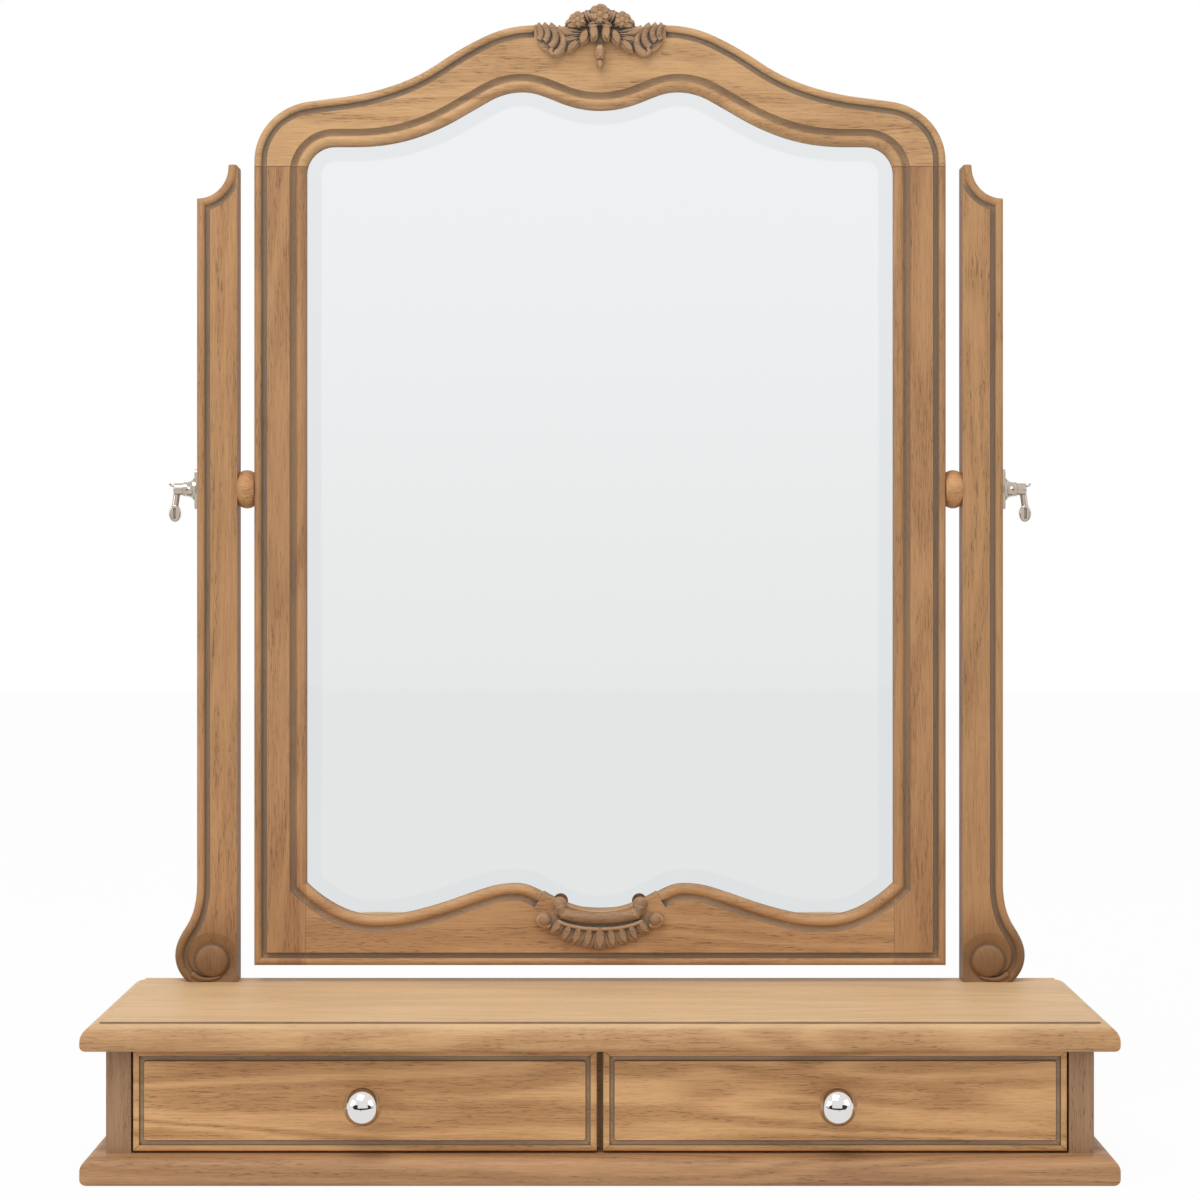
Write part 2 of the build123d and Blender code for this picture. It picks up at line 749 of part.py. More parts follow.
with BuildPart() as spacer_left:
    mirror(spacer_right.part, about=Plane.YZ)
spacer_left.part.label = "bun_spacer_left"
export_step(spacer_left.part, "parts/bun_spacer_left.step")

# Threaded inserts let into the edge of each stile on the pivot line
with BuildPart() as insert_right:
    with BuildSketch(Plane.YZ.offset(frame_half_width - insert_length)):
        with Locations((pivot_y, pivot_z)):
            Circle(insert_diameter / 2)
            Circle(spindle_diameter / 2 + thread_clearance, mode=Mode.SUBTRACT)
    extrude(amount=insert_length)
insert_right.part.label = "stile_insert_right"
export_step(insert_right.part, "parts/stile_insert_right.step")

with BuildPart() as insert_left:
    mirror(insert_right.part, about=Plane.YZ)
insert_left.part.label = "stile_insert_left"
export_step(insert_left.part, "parts/stile_insert_left.step")

# Outlines of the swinging frame as (x, z, heading) stations on its right half.
# The corners keep their place from the side of the frame, the arches from its middle.
head_outline = (
    (frame_half_width, frame_joint_z + 3.7, 90),
    (frame_half_width - 18.3, frame_joint_z + 38.1, 146),
    (frame_half_width - 60.3, frame_joint_z + 48.6, 173),
    (112.0, frame_joint_z + 73.5, 145.5),
    (crest_moulding_stop, frame_joint_z + 99.3, 180),
)
head_dip = (0, frame_joint_z + 90.0, 180)
sight_head = (
    (sight_x, frame_joint_z - 5.0, 90),
    (sight_x - 20.0, frame_joint_z + 15.0, 180),
    (sight_x - 52.0, frame_joint_z + 16.0, 173.5),
    (98.0, frame_joint_z + 35.6, 149.5),
    (54.5, frame_joint_z + 53.6, 180),
    (30.0, frame_joint_z + 46.9, 203),
    (0, frame_joint_z + 40.5, 180),
)
sight_foot_dip = (0, frame_bottom_z + 37.6, 0)
sight_foot = (
    (fan_moulding_stop, frame_bottom_z + 50.4, 31),
    (59.0, frame_bottom_z + 56.6, 0),
    (98.0, frame_bottom_z + 47.2, -20),
    (sight_x - 49.3, frame_bottom_z + 34.3, 0),
    (sight_x, frame_bottom_z + 57.4, 45),
)

with BuildSketch(facing_front(frame_front_y)) as sight_opening:
    with BuildLine():
        smooth_run(sight_foot_dip, *sight_foot)
        Line(sight_foot[-1][:2], sight_head[0][:2])
        smooth_run(*sight_head)
        mirror(about=Plane.YZ)
    make_face()

with BuildPart() as frame_edge_waste:
    with BuildLine(facing_front(frame_front_y)) as frame_edge:
        Polyline(
            (0, frame_bottom_z), (frame_half_width, frame_bottom_z), head_outline[0][:2]
        )
        smooth_run(*head_outline)
    with BuildSketch(section_plane(frame_edge.wire(), front_normal)):
        with BuildLine():
            bead_and_groove(frame_bead, frame_bead_fall, frame_groove)
        make_face()
    sweep(path=frame_edge.wire(), transition=Transition.RIGHT)

with BuildPart() as sight_edge_waste:
    with BuildLine(facing_front(frame_front_y)) as sight_edge:
        smooth_run(*sight_foot)
        Line(sight_foot[-1][:2], sight_head[0][:2])
        smooth_run(*sight_head)
    with BuildSketch(section_plane(sight_edge.wire(), front_normal)):
        with BuildLine():
            bead_and_groove(sight_bead, sight_bead_fall, sight_groove, toward=-1)
        make_face()
    sweep(path=sight_edge.wire(), transition=Transition.RIGHT)

# The moulded ring of the frame before it is parted into its four rails
with BuildPart() as ring:
    with BuildSketch(facing_front(frame_front_y)):
        with BuildLine():
            Polyline(
                (0, frame_bottom_z), (frame_half_width, frame_bottom_z), head_outline[0][:2]
            )
            smooth_run(*head_outline, head_dip)
            mirror(about=Plane.YZ)
        make_face()
        add(sight_opening.sketch, mode=Mode.SUBTRACT)
    extrude(amount=-frame_thickness)
    with BuildSketch(facing_front(glass_y)):
        add(sight_opening.sketch)
        offset(amount=glass_lap + glass_clearance, kind=Kind.INTERSECTION)
    extrude(amount=-frame_thickness, mode=Mode.SUBTRACT)
    with BuildSketch(facing_front(backing_y)):
        add(sight_opening.sketch)
        offset(amount=backing_lap, kind=Kind.INTERSECTION)
    extrude(amount=-frame_thickness, mode=Mode.SUBTRACT)
    for waste in (frame_edge_waste, sight_edge_waste):
        add(waste.part, mode=Mode.SUBTRACT)
        mirror(waste.part, about=Plane.YZ, mode=Mode.SUBTRACT)

# Dowels across the frame's joints: upright at the top rail, level at the bottom rail
top_dowel_x = frame_half_width - top_dowel_inset
foot_dowel_y = frame_front_y + foot_dowel_setback
with BuildPart() as frame_dowels:
    with BuildSketch(Plane.XY.offset(frame_joint_z)):
        with Locations((-top_dowel_x, pivot_y), (top_dowel_x, pivot_y)):
            Circle(frame_dowel_diameter / 2)
    extrude(amount=frame_dowel_length / 2, both=True)
    for sign in (-1, 1):
        with BuildSketch(Plane.YZ.offset(sign * sight_x)):
            with Locations(
                (foot_dowel_y, frame_bottom_z + foot_dowel_low),
                (foot_dowel_y, frame_bottom_z + foot_dowel_high),
            ):
                Circle(frame_dowel_diameter / 2)
        extrude(amount=frame_dowel_length / 2, both=True)
frame_dowels.part.label = "frame_dowels"
export_step(frame_dowels.part, "parts/frame_dowels.step")

# Small screws round the edge of the backing board
backing_back_y = backing_y + backing_thickness
backing_screw_x = sight_x + backing_screw_inset
backing_screw_places = [
    (sign * backing_screw_x, pivot_z + step * backing_screw_spread)
    for sign in (-1, 1)
    for step in (-1, 0, 1)
]
backing_screw_places.append((0, sight_head[-1][1] + backing_screw_inset))
backing_screw_places.append((0, sight_foot_dip[1] - backing_screw_inset))
with BuildPart() as backing_screws:
    with BuildSketch(facing_front(backing_back_y)):
        with Locations(*backing_screw_places):
            Circle(small_screw_diameter / 2)
    extrude(amount=backing_screw_length)
    with BuildSketch(facing_front(backing_back_y)):
        with Locations(*backing_screw_places):
            Circle(small_screw_head / 2)
    extrude(amount=small_screw_head_height, taper=screw_head_taper)
backing_screws.part.label = "backing_screws"
export_step(backing_screws.part, "parts/backing_screws.step")

# The ring parted into top rail, stiles and bottom rail along the joints seen in the front
with BuildPart() as bottom_blank:
    add(ring.part)
    split(bisect_by=Plane.XY.offset(pivot_z), keep=Keep.BOTTOM)
    split(bisect_by=Plane.YZ.offset(sight_x), keep=Keep.BOTTOM)
    split(bisect_by=Plane.YZ.offset(-sight_x), keep=Keep.TOP)

with BuildPart() as top_rail:
    add(ring.part)
    split(bisect_by=Plane.XY.offset(frame_joint_z), keep=Keep.TOP)
    add(frame_dowels.part, mode=Mode.SUBTRACT)
    add(backing_screws.part, mode=Mode.SUBTRACT)
top_rail.part.label = "frame_top_rail"
export_step(top_rail.part, "parts/frame_top_rail.step")

with BuildPart() as bottom_rail:
    add(bottom_blank.part)
    add(frame_dowels.part, mode=Mode.SUBTRACT)
    add(backing_screws.part, mode=Mode.SUBTRACT)
bottom_rail.part.label = "frame_bottom_rail"
export_step(bottom_rail.part, "parts/frame_bottom_rail.step")

with BuildPart() as stile_right:
    add(ring.part)
    split(bisect_by=Plane.XY.offset(frame_joint_z), keep=Keep.BOTTOM)
    split(bisect_by=Plane.YZ, keep=Keep.TOP)
    add(bottom_blank.part, mode=Mode.SUBTRACT)
    add(frame_dowels.part, mode=Mode.SUBTRACT)
    add(backing_screws.part, mode=Mode.SUBTRACT)
    with BuildSketch(Plane.YZ.offset(frame_half_width)):
        with Locations((pivot_y, pivot_z)):
            Circle(insert_diameter / 2)
    extrude(amount=-insert_length, mode=Mode.SUBTRACT)
stile_right.part.label = "frame_stile_right"
export_step(stile_right.part, "parts/frame_stile_right.step")

with BuildPart() as stile_left:
    mirror(stile_right.part, about=Plane.YZ)
stile_left.part.label = "frame_stile_left"
export_step(stile_left.part, "parts/frame_stile_left.step")

# Bevelled glass in the front rebate, with a backing board screwed behind it
bevel_inner = glass_bevel_width - glass_lap
bevel_outer = glass_lap + 1
with BuildPart() as glass_bevel_waste:
    with BuildLine(facing_front(glass_y)) as glass_edge:
        smooth_run(sight_foot_dip, *sight_foot)
        Line(sight_foot[-1][:2], sight_head[0][:2])
        smooth_run(*sight_head)
    with BuildSketch(section_plane(glass_edge.wire(), front_normal)):
        bevel_fall = glass_bevel_fall * (bevel_inner + bevel_outer) / glass_bevel_width
        with BuildLine():
            Polyline(
                (bevel_inner, 0), (-bevel_outer, -bevel_fall), (-bevel_outer, 1), (bevel_inner, 1),
                close=True,
            )
        make_face()
    sweep(path=glass_edge.wire(), transition=Transition.RIGHT)

with BuildPart() as mirror_glass:
    with BuildSketch(facing_front(glass_y)):
        add(sight_opening.sketch)
        offset(amount=glass_lap, kind=Kind.INTERSECTION)
    extrude(amount=-glass_thickness)
    add(glass_bevel_waste.part, mode=Mode.SUBTRACT)
    mirror(glass_bevel_waste.part, about=Plane.YZ, mode=Mode.SUBTRACT)
mirror_glass.part.label = "mirror_glass"
export_step(mirror_glass.part, "parts/mirror_glass.step")

with BuildPart() as backing_board:
    with BuildSketch(facing_front(backing_y)):
        add(sight_opening.sketch)
        offset(amount=backing_lap - backing_gap, kind=Kind.INTERSECTION)
    extrude(amount=-backing_thickness)
    add(backing_screws.part, mode=Mode.SUBTRACT)
backing_board.part.label = "backing_board"
export_step(backing_board.part, "parts/backing_board.step")


def petal(base_x, base_z, tip_x, tip_z, width, rise):
    """A carved petal or leaf on the front of the frame, pointed at both ends and ridged."""
    run = complex(tip_x - base_x, tip_z - base_z)
    lying = Plane(
        origin=(base_x, carving_bed_y, base_z), x_dir=(run.real, 0, run.imag), z_dir=(0, -1, 0)
    )
    with BuildPart() as carved:
        with BuildSketch(lying):
            with BuildLine():
                ThreePointArc((0, 0), (abs(run) * 0.55, width / 2), (abs(run), 0))
                ThreePointArc((abs(run), 0), (abs(run) * 0.55, -width / 2), (0, 0))
            make_face()
        extrude(amount=rise, taper=degrees(atan(width * petal_draw / rise)))
    return carved.part


def ribbon(start, middle, end, radius):
    """A carved half-round ribbon along an arc on the front of the frame."""
    with BuildPart() as carved:
        with BuildLine(facing_front(carving_bed_y)) as spine:
            ThreePointArc(start, middle, end)
        with BuildSketch(section_plane(spine.wire(), front_normal)):
            Circle(radius)
        sweep(path=spine.wire())
    return carved.part


def rosette(centre_x, centre_z, radius, rise):
    """A flower of pointed petals round a raised heart."""
    flower = []
    for step in range(rosette_petals):
        tip = complex(centre_x, centre_z) + radius * along(90 + step * 360 / rosette_petals)
        flower.append(petal(centre_x, centre_z, tip.real, tip.imag, radius * 0.9, rise))
    with BuildPart() as heart:
        with BuildSketch(facing_front(carving_bed_y)):
            with Locations((centre_x, centre_z)):
                Circle(radius * 0.45)
        extrude(amount=rise * 1.3, taper=degrees(atan(radius * petal_draw / rise)))
    flower.append(heart.part)
    return flower


# Crest carving: a rose over two flowers, leaves, a hanging bud and a scroll over each shoulder
carving_bed_y = frame_front_y - carving_bed
crest_z = head_dip[1]
crest_pieces = [
    petal(17.0, crest_z + 0.8, 29.5, crest_z + 5.3, 7.0, 5.0),
    petal(15.0, crest_z - 1.0, 26.0, crest_z - 2.0, 5.5, 4.0),
    petal(15.0, crest_z - 1.0, 23.5, crest_z - 11.0, 7.0, 3.5),
    petal(8.5, crest_z + 6.0, 14.0, crest_z - 6.5, 8.5, 5.0),
    petal(4.0, crest_z + 11.0, 5.0, crest_z - 4.0, 8.0, 6.0),
    petal(12.0, crest_z + 10.0, 24.0, crest_z + 6.0, 6.0, 4.5),
    ribbon((30.0, crest_z + 6), (25.2, crest_z - 3), (31.5, crest_z - 12), 3.0),
    ribbon((35.5, crest_z + 8), (30.8, crest_z + 1), (35.0, crest_z - 7), 2.8),
    ribbon((40.0, crest_z + 8.5), (36.6, crest_z + 3), (38.8, crest_z - 3), 2.5),
    ribbon((44.0, crest_z + 8.8), (41.2, crest_z + 4), (42.6, crest_z - 2), 2.2),
    *rosette(15.5, crest_z + 12.2, 6.2, 6.0),
]
crest_middle_pieces = [
    petal(0, crest_z - 5.0, 0, crest_z - 17.0, 7.0, 5.0),
    petal(0, crest_z - 15.0, 0, crest_z - 23.0, 5.0, 4.0),
    *rosette(0, crest_z + 15.5, 8.0, 8.0),
]
with BuildPart() as crest_half:
    with BuildSketch(facing_front(carving_bed_y)):
        with BuildLine():
            smooth_run(
                (0, crest_z + 20.0, 0),
                (21.0, crest_z + 11.0, -50),
                (30.0, crest_z + 6.5, 5),
                (45.0, crest_z + 4.0, -90),
                (33.0, crest_z - 11.0, 180),
                (16.0, crest_z - 5.0, 150),
                (0, crest_z - 4.0, 180),
            )
            Line((0, crest_z - 4.0), (0, crest_z + 20.0))
        make_face()
    extrude(amount=-crest_depth)
    for piece in crest_pieces:
        add(piece)
with BuildPart() as crest_carving:
    add(crest_half.part)
    mirror(crest_half.part, about=Plane.YZ)
    for piece in crest_middle_pieces:
        add(piece)
    with BuildSketch(facing_front(carving_bed_y)):
        with Locations((0, crest_z - 10.0)):
            SlotOverall(22.0, 2.6, rotation=90)
    extrude(amount=-carving_bed)
    add(top_rail.part, mode=Mode.SUBTRACT)
crest_carving.part.label = "crest_carving"
export_step(crest_carving.part, "parts/crest_carving.step")

# Carving under the glass: a bead between two scroll knobs, over a fan of leaves
fan_z = sight_foot_dip[1]
fan_leaves = [
    petal(0, fan_z - 8.0, 0, fan_z - 26.8, 10.0, 3.6),
    petal(6.5, fan_z - 8.0, 9.8, fan_z - 25.0, 8.0, 3.2),
    petal(13.5, fan_z - 8.0, 18.5, fan_z - 22.5, 7.5, 3.4),
    petal(20.0, fan_z - 6.5, 26.0, fan_z - 20.0, 7.0, 3.2),
    petal(26.0, fan_z - 4.0, 34.4, fan_z - 15.0, 7.0, 3.0),
    ribbon((-27.0, fan_z - 8.0), (0, fan_z - 11.4), (27.0, fan_z - 8.0), 1.6),
    ribbon((-27.0, fan_z - 0.8), (0, fan_z - 4.2), (27.0, fan_z - 0.8), 3.9),
]
with BuildPart() as fan_half:
    with BuildSketch(facing_front(carving_bed_y)):
        with BuildLine():
            smooth_run(
                (0, fan_z - 24.0, 0), (32.0, fan_z - 13.0, 45), (40.0, fan_z - 3.0, 70)
            )
            Polyline(
                (40.0, fan_z - 3.0), (28.0, fan_z + 3.0), (0, fan_z - 3.0), (0, fan_z - 24.0)
            )
        make_face()
    extrude(amount=-carving_bed)
    for piece in fan_leaves:
        add(piece)
    with Locations((39.4, frame_front_y, fan_z - 5.0)):
        Sphere(5.6)
    with Locations((28.1, frame_front_y, fan_z + 5.6)):
        Sphere(5.2)
    with Locations((28.1, frame_front_y, fan_z + 0.5)):
        Sphere(4.6)
with BuildPart() as lower_carving:
    add(fan_half.part)
    mirror(fan_half.part, about=Plane.YZ)
    split(bisect_by=facing_front(frame_front_y), keep=Keep.TOP)
lower_carving.part.label = "lower_carving"
export_step(lower_carving.part, "parts/lower_carving.step")
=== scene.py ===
from math import cos, pi, radians, sin

import bpy
import numpy as np
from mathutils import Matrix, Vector


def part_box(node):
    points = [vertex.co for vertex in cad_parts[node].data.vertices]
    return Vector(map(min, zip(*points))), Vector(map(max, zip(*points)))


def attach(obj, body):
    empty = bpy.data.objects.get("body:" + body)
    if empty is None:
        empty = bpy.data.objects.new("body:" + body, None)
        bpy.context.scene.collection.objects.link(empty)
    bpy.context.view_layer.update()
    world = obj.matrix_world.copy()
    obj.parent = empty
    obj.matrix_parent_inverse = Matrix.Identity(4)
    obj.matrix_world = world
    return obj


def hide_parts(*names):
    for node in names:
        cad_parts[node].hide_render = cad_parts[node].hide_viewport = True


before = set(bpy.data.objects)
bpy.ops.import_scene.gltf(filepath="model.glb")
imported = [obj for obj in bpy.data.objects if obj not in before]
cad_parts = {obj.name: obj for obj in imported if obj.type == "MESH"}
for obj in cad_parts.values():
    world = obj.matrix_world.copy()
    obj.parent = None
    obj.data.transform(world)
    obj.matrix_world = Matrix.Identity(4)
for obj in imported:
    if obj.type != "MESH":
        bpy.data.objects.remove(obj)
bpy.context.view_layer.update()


# The studio: a pale floor, a white surround and three soft lamps. Off to the sides stand dark
# cards, seen only in reflections, which give the polished metal something to show.
class Wire:
    """A value in a material's node tree. Arithmetic on it adds Math nodes."""

    def __init__(self, tree, socket=None):
        self.tree = tree
        self.socket = socket

    def node(self, kind, settings, inputs, output=0):
        """Adds a node, sets what it is first, then its sockets, and gives one of its outputs."""
        made = self.tree.nodes.new(kind)
        for name, value in settings.items():
            setattr(made, name, value)
        for key, value in inputs.items():
            if isinstance(value, Wire):
                self.tree.links.new(value.socket, made.inputs[key])
            else:
                made.inputs[key].default_value = value
        return Wire(self.tree, made.outputs[output])

    def maths(self, operation, *values):
        return self.node("ShaderNodeMath", {"operation": operation}, dict(enumerate(values)))

    def __add__(self, other):
        return self.maths("ADD", self, other)

    __radd__ = __add__

    def __sub__(self, other):
        return self.maths("SUBTRACT", self, other)

    def __rsub__(self, other):
        return self.maths("SUBTRACT", other, self)

    def __mul__(self, other):
        return self.maths("MULTIPLY", self, other)

    __rmul__ = __mul__

    def __abs__(self):
        return self.maths("ABSOLUTE", self)

    def peak(self, other):
        """The larger of two values."""
        return self.maths("MAXIMUM", self, other)

    def rise(self, low, high):
        """0 below low, 1 above high and smooth between them."""
        return self.node(
            "ShaderNodeMapRange", {"interpolation_type": "SMOOTHSTEP"}, {0: self, 1: low, 2: high}
        )

    def mix(self, first, second):
        """The first colour where this value is 0 and the second where it is 1."""
        return self.node(
            "ShaderNodeMix", {"data_type": "RGBA"}, {0: self, 6: first, 7: second}, 2
        )


def tint(red, green, blue):
    """A colour given as it looks on a screen, 0 to 255, as the linear colour a shader takes."""
    return tuple(
        (c / 255 / 12.92 if c / 255 <= 0.04045 else ((c / 255 + 0.055) / 1.055) ** 2.4)
        for c in (red, green, blue)
    ) + (1.0,)


def material(name):
    """A material, a Wire to build in it with, and its one surface shader."""
    made = bpy.data.materials.new(name)
    made.use_nodes = True
    return made, Wire(made.node_tree), made.node_tree.nodes["Principled BSDF"]


def feed(wire, shader, **sockets):
    """Links wires to a shader's sockets; a plain value is set on the socket itself."""
    for name, value in sockets.items():
        socket = shader.inputs[name.replace("_", " ")]
        if isinstance(value, Wire):
            wire.tree.links.new(value.socket, socket)
        else:
            socket.default_value = value


def new_piece(name, vertices, faces, finish):
    """A smoothly shaded mesh object with one material."""
    mesh = bpy.data.meshes.new(name)
    mesh.from_pydata(vertices, [], faces)
    mesh.polygons.foreach_set("use_smooth", [True] * len(mesh.polygons))
    mesh.materials.append(finish)
    made = bpy.data.objects.new(name, mesh)
    bpy.context.scene.collection.objects.link(made)
    return made


def open_to(wire, plain, seen):
    """The plain shader for light that bounces, the seen one for the camera and reflections."""
    path = wire.tree.nodes.new("ShaderNodeLightPath")
    looked_at = Wire(wire.tree, path.outputs["Is Camera Ray"]).peak(
        Wire(wire.tree, path.outputs["Is Glossy Ray"])
    ).peak(Wire(wire.tree, path.outputs["Is Transmission Ray"]))
    return wire.node("ShaderNodeMixShader", {}, {0: looked_at, 1: plain, 2: seen})


white = (1.0, 1.0, 1.0, 1.0)
floor_half = 6.0
floor_shadow_share = 0.05
floor_finish, floor_wire, floor_shader = material("pale_floor")
feed(floor_wire, floor_shader, Base_Color=tint(236, 236, 236), Roughness=0.9)
white_glow = floor_wire.node("ShaderNodeEmission", {}, {"Strength": 1.0})
shaded_floor = Wire(floor_wire.tree, floor_shader.outputs[0])
floor_seen = floor_wire.node(
    "ShaderNodeMixShader", {}, {0: 1 - floor_shadow_share, 1: shaded_floor, 2: white_glow}
)
floor_surface = open_to(floor_wire, shaded_floor, floor_seen)
floor_wire.tree.links.new(
    floor_surface.socket, floor_wire.tree.nodes["Material Output"].inputs["Surface"]
)
floor = new_piece(
    "floor",
    [(-floor_half, -floor_half, 0), (floor_half, -floor_half, 0),
     (floor_half, floor_half, 0), (-floor_half, floor_half, 0)],
    [(0, 1, 2, 3)],
    floor_finish,
)

room_light = 0.62
world = bpy.data.worlds.new("white_room")
world.use_nodes = True
bpy.context.scene.world = world
room = Wire(world.node_tree)
dim = room.node("ShaderNodeBackground", {}, {"Color": white, "Strength": room_light})
bright = room.node("ShaderNodeBackground", {}, {"Color": white, "Strength": 1.0})
room_surface = open_to(room, dim, bright)
room.tree.links.new(
    room_surface.socket, room.tree.nodes["World Output"].inputs["Surface"]
)


def soft_lamp(name, place, aim, width, power):
    """A square soft lamp that points at a place."""
    lamp = bpy.data.lights.new(name, "AREA")
    lamp.shape = "SQUARE"
    lamp.size = width
    lamp.energy = power
    held = bpy.data.objects.new(name, lamp)
    held.location = place
    held.rotation_euler = (Vector(aim) - Vector(place)).to_track_quat("-Z", "Y").to_euler()
    bpy.context.scene.collection.objects.link(held)


soft_lamp("overhead_softbox", (-0.5, -1.2, 2.6), (0, 0, 0.3), width=1.6, power=34)
soft_lamp("left_softbox", (-2.4, -1.6, 1.2), (0, 0, 0.4), width=1.4, power=17)
soft_lamp("right_softbox", (2.4, -1.6, 1.4), (0, 0, 0.4), width=1.4, power=13)

card_finish, card_wire, card_shader = material("dark_card")
feed(card_wire, card_shader, Base_Color=tint(60, 55, 50), Roughness=0.9)


def dark_card(name, x, y, width, height, foot):
    """An upright card that only reflections show."""
    card = new_piece(
        name,
        [(x - width / 2, y, foot), (x + width / 2, y, foot),
         (x + width / 2, y, foot + height), (x - width / 2, y, foot + height)],
        [(0, 1, 2, 3)],
        card_finish,
    )
    card.visible_camera = False
    card.visible_diffuse = False
    card.visible_shadow = False


for side, sign in (("left", -1), ("right", 1)):
    dark_card(f"card_near_{side}", sign * 0.82, -1.0, width=0.60, height=0.34, foot=0.03)
    dark_card(f"card_far_{side}", sign * 2.0, -1.9, width=1.2, height=0.7, foot=0.05)
dark_card("card_low", 0.0, -0.24, width=0.60, height=0.024, foot=0.030)

# The camera stands level in front, a little over half the object's height, and its view is
# shifted down to take in the foot of the case.
camera = bpy.data.cameras.new("camera")
camera.sensor_width = 36
camera.lens = 81.15
camera.shift_y = -0.04
camera_stand = bpy.data.objects.new("camera", camera)
camera_stand.location = (0, -1.822, 0.4058)
camera_stand.rotation_euler = (radians(90), 0, 0)
bpy.context.scene.collection.objects.link(camera_stand)
bpy.context.scene.camera = camera_stand
bpy.context.scene.view_settings.view_transform = "Standard"


# The case boards: solid wood with open pores, stained a warm brown and waxed. The top board and
# the plinth run lengthwise, and the top board has a painted highlight, palest where it faces up.
def shaded(colour, share):
    """A colour made darker by a share below 1, or paler by one above it."""
    return tuple(min(c * share, 1.0) for c in colour[:3]) + (1.0,)


def shelter(wire, reach, samples=8, inside=False):
    """Near 1 deep in a hollow and 0 in the open, or with inside, near 1 at a sharp edge."""
    openness = wire.node(
        "ShaderNodeAmbientOcclusion",
        {"samples": samples, "only_local": True, "inside": inside},
        {"Distance": reach},
        "AO",
    )
    return 1 - openness


# The grey of the glaze and of painted shade in the hollows.
glaze_and_shade_grey = tint(112, 101, 89)
line_brown = tint(78, 54, 36)
# The pale of painted top light, on wood that faces up.
painted_top_light_colour = tint(232, 200, 156)


def wood(name, grain, pale, dark, seed, figure=1.0, glaze_and_shade=0.75, glaze_and_shade_reach=0.005,
         lines=None, painted_shade=None, painted_top_light=0.0, wear_and_highlight=0.45):
    """A stained, open-pored wood, grain along one axis, with glaze and painted shade in its
    hollows.

    From x, y and z, lines gives where a fine dark line runs, and painted shade where the wood is
    painted darker. Painted top light is how much paler the wood is painted where it faces up, and
    the wear and highlight share how pale its edges are, from wear and a painted highlight."""
    finish, wire, shader = material(name)
    place = wire.node("ShaderNodeTexCoord", {}, {}, "Object")
    x, y, z = (wire.node("ShaderNodeSeparateXYZ", {}, {"Vector": place}, axis) for axis in "XYZ")

    def noise(along, across, detail, distortion=0.0):
        """Noise drawn out along the grain, with so many cells to the metre each way."""
        scale = [across] * 3
        scale["XYZ".index(grain)] = along
        stretched = wire.node(
            "ShaderNodeMapping", {},
            {"Vector": place, "Location": (seed, seed * 1.7, seed * 2.3), "Scale": tuple(scale)},
        )
        return wire.node(
            "ShaderNodeTexNoise", {},
            {"Vector": stretched, "Scale": 1.0, "Detail": detail, "Distortion": distortion},
        )

    ring_swing = 46.0
    rings = wire.maths("SINE", noise(2.2, 20.0, 2.0, 0.5) * ring_swing) * 0.5 + 0.5
    fibre = noise(34.0, 900.0, 4.0)
    broad = noise(9.0, 16.0, 3.0)
    pores = noise(120.0, 1700.0, 2.0).rise(0.56, 0.67) * (rings.rise(0.15, 0.95) * 0.65 + 0.35)
    shade = rings * 0.16 * figure + fibre * 0.62 + broad * 0.42 - 0.10
    colour = shade.rise(0.12, 0.98).mix(pale, dark)
    colour = (pores * 0.62).mix(colour, shaded(dark, 0.40))
    # Painted top light: the wood is painted paler where it faces up, as if lit from above.
    if painted_top_light:
        normal = wire.node("ShaderNodeTexCoord", {}, {}, "Normal")
        facing_up = wire.node("ShaderNodeSeparateXYZ", {}, {"Vector": normal}, "Z").rise(0.6, 0.95)
        colour = (facing_up * painted_top_light).mix(colour, painted_top_light_colour)
    # Edges painted paler: partly wear, partly a painted highlight where light catches them.
    edge_wear_and_highlight = shelter(wire, 0.0028, samples=6, inside=True).rise(0.40, 0.90)
    colour = (edge_wear_and_highlight * wear_and_highlight).mix(colour, shaded(pale, 1.25))
    # Hollows painted grey: partly glaze left in them, partly painted shade.
    glaze_and_shade_mask = shelter(wire, glaze_and_shade_reach).rise(0.10, 0.36)
    colour = (glaze_and_shade_mask * glaze_and_shade).mix(colour, glaze_and_shade_grey)
    # Painted shade: the stain is painted darker where this mask is high.
    if painted_shade:
        colour = painted_shade(x, y, z).mix(colour, shaded(dark, 0.45))
    if lines:
        colour = (lines(x, y, z) * 0.7).mix(colour, line_brown)
    bump = wire.node(
        "ShaderNodeBump", {},
        {"Height": fibre * 0.5 - pores * 0.9, "Strength": 0.30, "Distance": 0.0004},
    )
    feed(wire, shader, Base_Color=colour, Roughness=0.44 + fibre * 0.22, Normal=bump)
    shader.inputs["Specular IOR Level"].default_value = 0.35
    return finish


def dress(finish, *nodes):
    """Gives CAD nodes a finish."""
    for name in nodes:
        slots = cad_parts[name].data.materials
        slots.clear()
        slots.append(finish)


board_wood = wood(
    "board_wood", "X", tint(203, 162, 115), tint(160, 117, 75), 3.1, figure=1.3, painted_top_light=0.42
)
plinth_wood = wood("plinth_wood", "X", tint(185, 143, 101), tint(141, 101, 67), 8.4, figure=1.3)
dress(board_wood, "top_board")
dress(plinth_wood, "plinth")

# The case ends: two upright boards between the plinth and the top board, with their grain
# standing. They are greyer from the glaze, and painted darker for the shade under the top board.
shaded_case_end_wood = wood(
    "shaded_case_end_wood", "Z", tint(166, 131, 99), tint(126, 95, 68), 12.7, figure=0.7
)
dress(shaded_case_end_wood, "case_side_left", "case_side_right")

